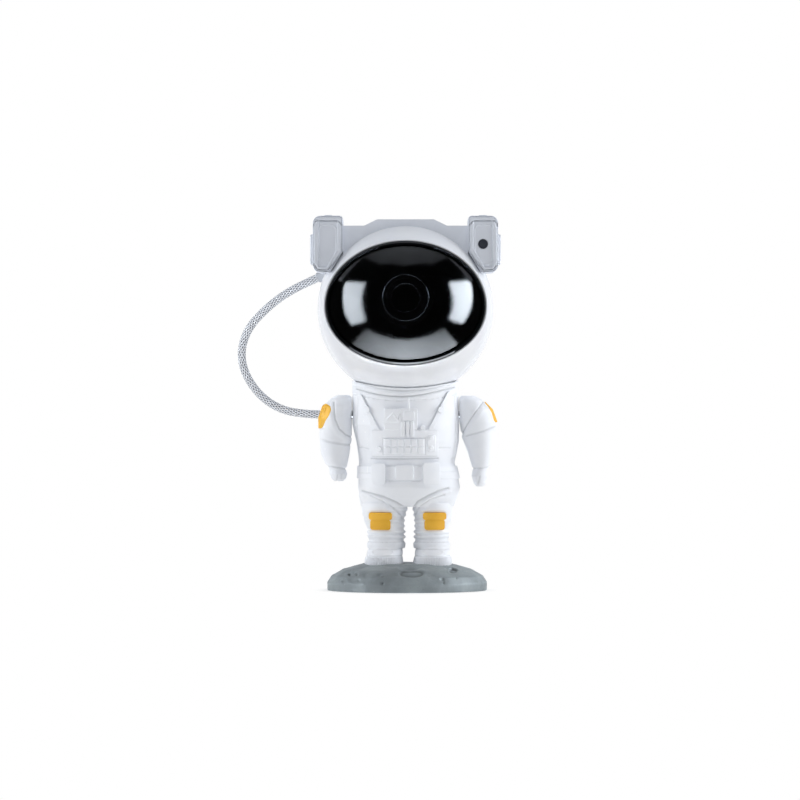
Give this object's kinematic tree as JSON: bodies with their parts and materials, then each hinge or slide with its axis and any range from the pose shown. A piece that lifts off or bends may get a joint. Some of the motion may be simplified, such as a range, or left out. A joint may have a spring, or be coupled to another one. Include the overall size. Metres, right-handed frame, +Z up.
{
  "type": "star projector",
  "caption": "Star and nebula projector shaped as a standing astronaut on a moon base, with a turning helmet, posable arms, ear pods and a braided side hose.",
  "frame": {"origin": "centre of the base's flat underside", "axes": "+Z up; the figure faces -Y; +X is to the right when seen from the front"},
  "size_m": [0.1595, 0.1037, 0.2259],
  "materials": {
    "suit_white": "satin moulded plastic",
    "frame_grey": "satin moulded plastic",
    "bezel_grey": "satin",
    "patch_yellow": "satin",
    "moon_grey": "matt, cratered",
    "visor_black": "high gloss, smoked",
    "inner_black": "matt",
    "lens_glass": "clear",
    "board_green": "solder mask",
    "steel": "bright",
    "aluminium": "plain",
    "ballast_iron": "plain",
    "rubber_black": "matt",
    "hose_braid": "silver-white braid"
  },
  "bodies": {
    "stand": {"moon_base": "moon_grey", "base_plate": "inner_black", "ballast_weight": "ballast_iron", "rubber_feet": "rubber_black", "base_screws": "steel", "leg_screws": "steel", "left_leg": "suit_white", "right_leg": "suit_white", "left_knee_patch": "patch_yellow", "right_knee_patch": "patch_yellow", "torso_front_shell": "suit_white", "torso_back_shell": "suit_white", "torso_screws": "steel", "belt": "suit_white", "chest_console": "suit_white", "control_board": "board_green", "neck_bearing": "suit_white", "backpack_shell": "suit_white", "backpack_cover": "suit_white", "backpack_screws": "steel", "button_board": "board_green", "usb_socket": "steel", "hose": "hose_braid", "lower_hose_gland": "frame_grey"},
    "neck": {"neck_cup": "suit_white", "neck_magnet": "steel"},
    "head": {"helmet_front_shell": "suit_white", "helmet_rear_shell": "suit_white", "helmet_screws": "steel", "visor": "visor_black", "visor_bezel": "bezel_grey", "crown_frame": "frame_grey", "left_ear_pod": "frame_grey", "right_ear_pod": "frame_grey", "left_pod_cover": "frame_grey", "right_pod_cover": "frame_grey", "laser_window": "lens_glass", "laser_module": "inner_black", "grating_motor": "steel", "keeper_plate": "steel", "engine_chassis": "inner_black", "led_board": "aluminium", "heat_sink": "aluminium", "condenser_lens": "lens_glass", "lens_barrel": "inner_black", "projection_lens": "lens_glass", "wheel_motor": "steel", "upper_hose_gland": "frame_grey"},
    "left_arm": {"left_arm": "suit_white", "left_arm_patch": "patch_yellow", "left_shoulder_pin": "steel"},
    "right_arm": {"right_arm": "suit_white", "right_arm_patch": "patch_yellow", "right_shoulder_pin": "steel"},
    "ripple_wheel": {"ripple_wheel": "lens_glass"},
    "grating_disc": {"grating_disc": "lens_glass"},
    "power_button": {"power_button": "bezel_grey"},
    "star_button": {"star_button": "bezel_grey"},
    "nebula_button": {"nebula_button": "bezel_grey"},
    "timer_button": {"timer_button": "bezel_grey"}
  },
  "joints": [
    {"name": "head_swivel", "type": "hinge", "parent": "stand", "child": "neck", "pos_m": [0, 0, 0.1695], "axis": [0, 0, 1], "range_deg": [-35, 35], "deforming": ["hose"]},
    {"name": "head_tilt", "type": "hinge", "parent": "neck", "child": "head", "pos_m": [0, 0, 0.1695], "axis": [-1, 0, 0], "range_deg": [-15, 35], "deforming": ["hose"]},
    {"name": "left_shoulder", "type": "hinge", "parent": "stand", "child": "left_arm", "pos_m": [-0.0324, 0, 0.1055], "axis": [-1, 0, 0], "range_deg": [-25, 110]},
    {"name": "right_shoulder", "type": "hinge", "parent": "stand", "child": "right_arm", "pos_m": [0.0324, 0, 0.1055], "axis": [-1, 0, 0], "range_deg": [-25, 110]},
    {"name": "ripple_wheel_spin", "type": "hinge", "parent": "head", "child": "ripple_wheel", "pos_m": [0.017, -0.011, 0.1635], "axis": [0, 1, 0], "continuous": true},
    {"name": "grating_spin", "type": "hinge", "parent": "head", "child": "grating_disc", "pos_m": [0.0464, -0.0143, 0.2136], "axis": [0, 1, 0], "continuous": true},
    {"name": "power_press", "type": "slide", "parent": "stand", "child": "power_button", "axis": [0, -1, 0], "range_m": [0, 0.0008], "stiffness_N_per_m": 500, "springref_m": -0.0004},
    {"name": "star_press", "type": "slide", "parent": "stand", "child": "star_button", "axis": [0, -1, 0], "range_m": [0, 0.0008], "stiffness_N_per_m": 500, "springref_m": -0.0004},
    {"name": "nebula_press", "type": "slide", "parent": "stand", "child": "nebula_button", "axis": [0, -1, 0], "range_m": [0, 0.0008], "stiffness_N_per_m": 500, "springref_m": -0.0004},
    {"name": "timer_press", "type": "slide", "parent": "stand", "child": "timer_button", "axis": [0, -1, 0], "range_m": [0, 0.0008], "stiffness_N_per_m": 500, "springref_m": -0.0004}
  ]
}
